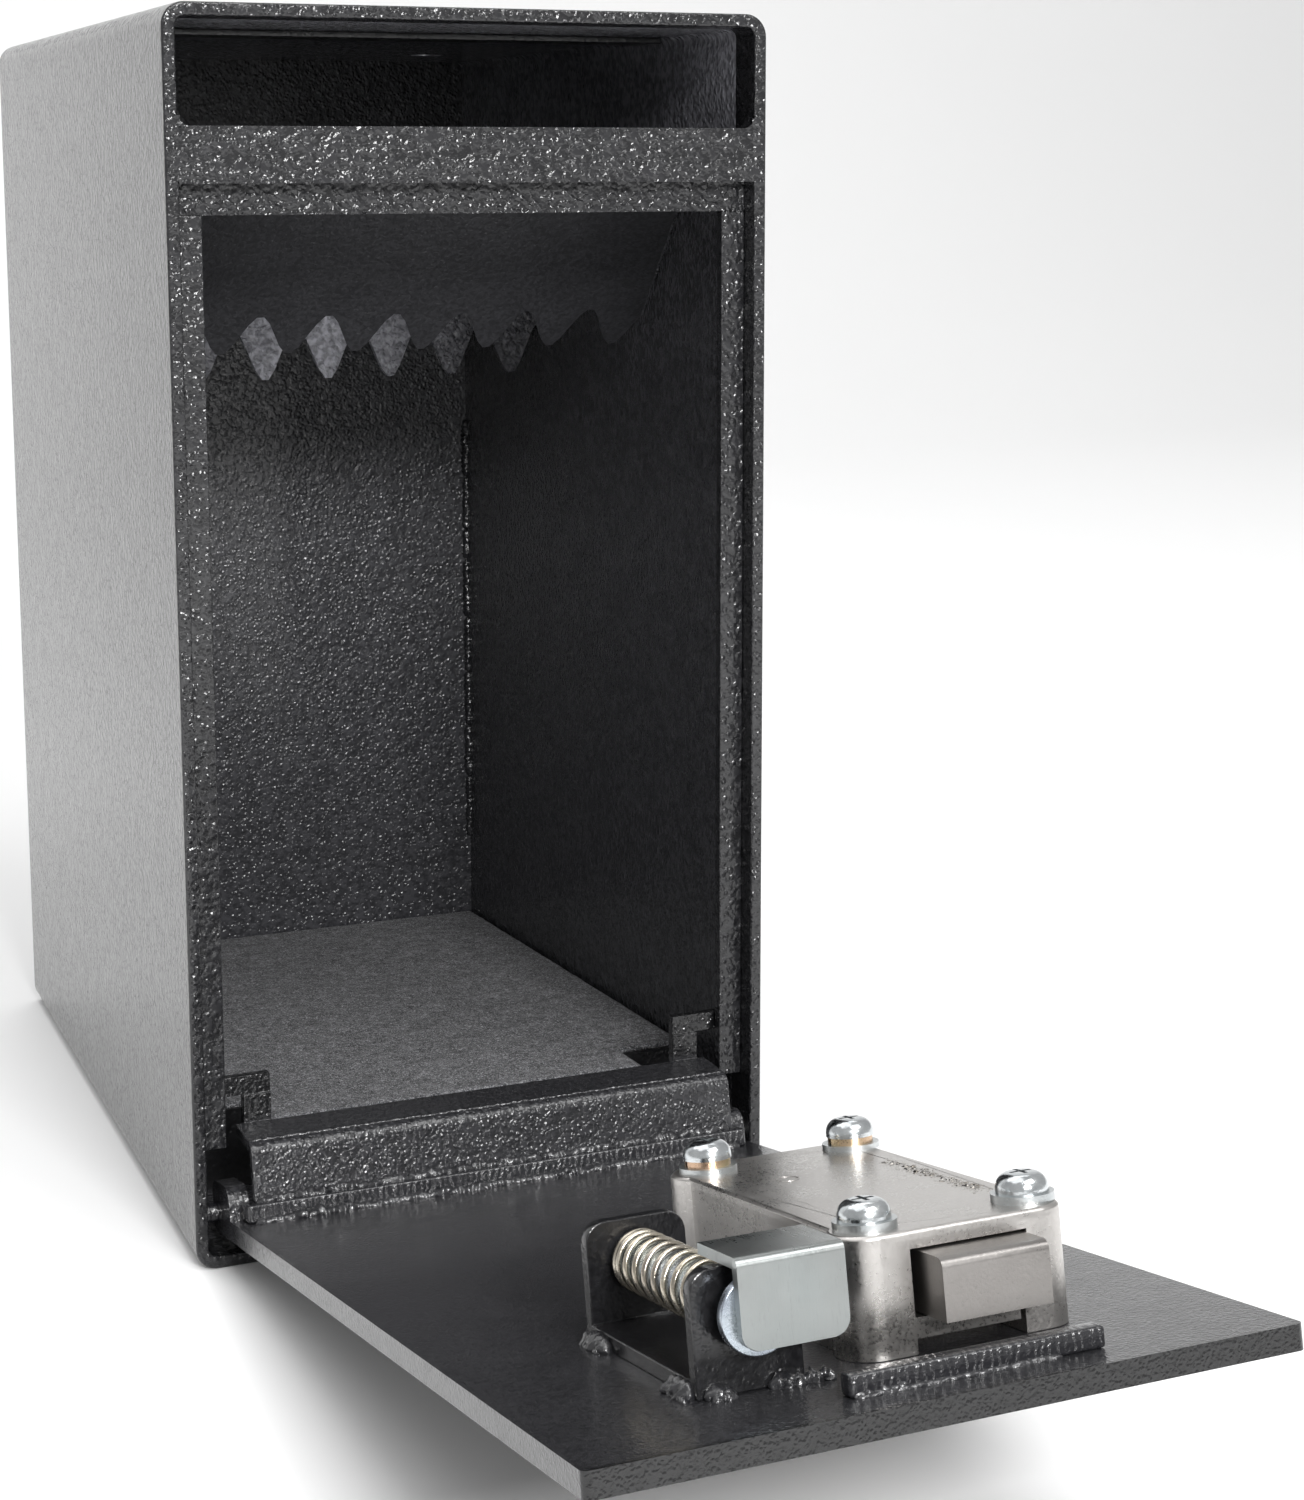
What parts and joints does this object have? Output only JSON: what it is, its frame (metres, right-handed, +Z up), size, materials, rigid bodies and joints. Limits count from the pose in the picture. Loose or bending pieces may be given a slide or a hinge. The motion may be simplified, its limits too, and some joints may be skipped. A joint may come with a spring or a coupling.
{
  "type": "under-counter depository safe",
  "caption": "Tall steel drop safe with a top deposit slot, toothed anti-fishing baffles and a bottom-hinged plate door that carries a key lock and a sprung plunger.",
  "frame": {"origin": "centre of the underside of the box", "axes": "+X to the right as seen from the door side, +Y from the door side towards the back of the box, +Z up; the door lies open towards -Y"},
  "size_m": [0.1524, 0.469, 0.3048],
  "materials": {
    "powder_coat": "textured gloss powder coat",
    "felt": "needled felt",
    "nickel_casting": "nickel-plated casting",
    "nickel_bolt": "satin nickel",
    "brass_nose": "satin",
    "zinc_screw": "bright zinc",
    "zinc_washer": "dull zinc",
    "yellow_zinc": "yellow passivated zinc",
    "zinc_rod": "zinc",
    "zinc_sheet": "zinc-plated sheet",
    "spring_wire": "bright drawn wire",
    "bare_pin": "oiled steel"
  },
  "bodies": {
    "box": {"body_wrap": "powder_coat", "rear_panel": "powder_coat", "header_bar": "powder_coat", "header_stop": "powder_coat", "left_jamb_stop": "powder_coat", "right_jamb_stop": "powder_coat", "front_baffle": "powder_coat", "rear_baffle": "powder_coat", "slot_lip": "powder_coat", "floor_tray": "powder_coat", "floor_mat": "felt", "corner_welds": "powder_coat", "left_hinge_pin": "bare_pin", "right_hinge_pin": "bare_pin"},
    "door": {"door_plate": "powder_coat", "hinge_bar": "powder_coat", "hook_strip": "powder_coat", "strip_bead": "powder_coat", "bar_welds": "powder_coat", "left_hinge_lug": "powder_coat", "right_hinge_lug": "powder_coat", "lock_case": "nickel_casting", "key_nose": "brass_nose", "lock_screws": "zinc_screw", "split_washers": "yellow_zinc", "flat_washers": "zinc_washer", "lock_bar": "powder_coat", "lock_bar_weld": "powder_coat", "plunger_bracket": "powder_coat", "bracket_welds": "powder_coat", "plunger_spring": "spring_wire"},
    "bolt": {"dead_bolt": "nickel_bolt"},
    "key": {"key_plug": "brass_nose"},
    "plunger": {"plunger_rod": "zinc_rod", "plunger_collar": "zinc_rod", "plunger_plate": "zinc_sheet"}
  },
  "joints": [
    {"name": "door_hinge", "type": "hinge", "parent": "box", "child": "door", "pos_m": [0, -0.1083, 0.0123], "axis": [-1, 0, 0], "range_deg": [0, 78]},
    {"name": "bolt_slide", "type": "slide", "parent": "door", "child": "bolt", "axis": [0, -0.9781, 0.2079], "range_m": [0, 0.0155]},
    {"name": "key_turn", "type": "hinge", "parent": "door", "child": "key", "pos_m": [0.018, -0.29554, 0.04525], "axis": [0, 0.2079, 0.9781], "range_deg": [-1, 91]},
    {"name": "plunger_slide", "type": "slide", "parent": "door", "child": "plunger", "axis": [0, 0.9781, -0.2079], "range_m": [0, 0.003], "stiffness_N_per_m": 900, "springref_m": -0.008, "deforming": ["plunger_spring"]}
  ],
  "couplings": [
    {"joint": "key_turn", "follows": "bolt_slide", "rad_per_m": 101.34}
  ]
}
